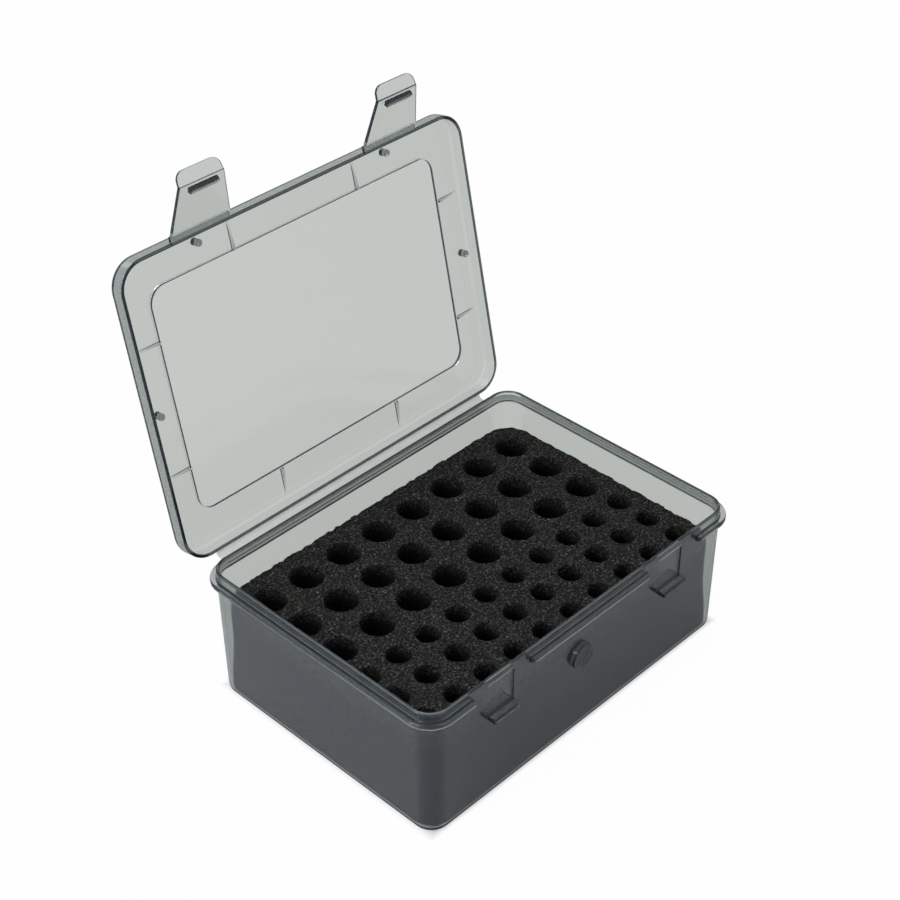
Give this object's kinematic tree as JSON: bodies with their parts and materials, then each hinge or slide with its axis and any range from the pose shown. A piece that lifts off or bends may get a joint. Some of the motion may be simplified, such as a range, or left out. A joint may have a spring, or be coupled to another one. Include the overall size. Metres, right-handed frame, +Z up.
{
  "type": "battery storage case",
  "caption": "Rectangular storage case in smoky clear plastic with a hinged lid, snap latches and a foam tray drilled for AA and AAA cells.",
  "frame": {"origin": "centre of the flat underside of the case", "axes": "+X along the long side, -Y out of the front with the latches, +Z up out of the open case"},
  "size_m": [0.177, 0.1646, 0.212],
  "materials": {
    "smoke_plastic": "satin",
    "hinge_plastic": "satin",
    "foam": "matte"
  },
  "bodies": {
    "base": {"case_base": "smoke_plastic", "foam_insert": "foam", "lid_hinge_web": "hinge_plastic"},
    "lid": {"lid": "smoke_plastic", "latch_hinge_left": "hinge_plastic", "latch_hinge_right": "hinge_plastic"},
    "latch_left": {"latch_left": "smoke_plastic"},
    "latch_right": {"latch_right": "smoke_plastic"}
  },
  "joints": [
    {"name": "lid_hinge", "type": "hinge", "parent": "base", "child": "lid", "pos_m": [0, 0.0658, 0.0574], "axis": [1, 0, 0], "range_deg": [-78.5, 101.5], "deforming": ["lid_hinge_web"]},
    {"name": "latch_left_hinge", "type": "hinge", "parent": "lid", "child": "latch_left", "pos_m": [-0.0489, 0.09298, 0.18698], "axis": [1, 0, 0], "range_deg": [-20, 70], "deforming": ["latch_hinge_left"]},
    {"name": "latch_right_hinge", "type": "hinge", "parent": "lid", "child": "latch_right", "pos_m": [0.0489, 0.09298, 0.18698], "axis": [1, 0, 0], "range_deg": [-24, 66], "deforming": ["latch_hinge_right"]}
  ]
}
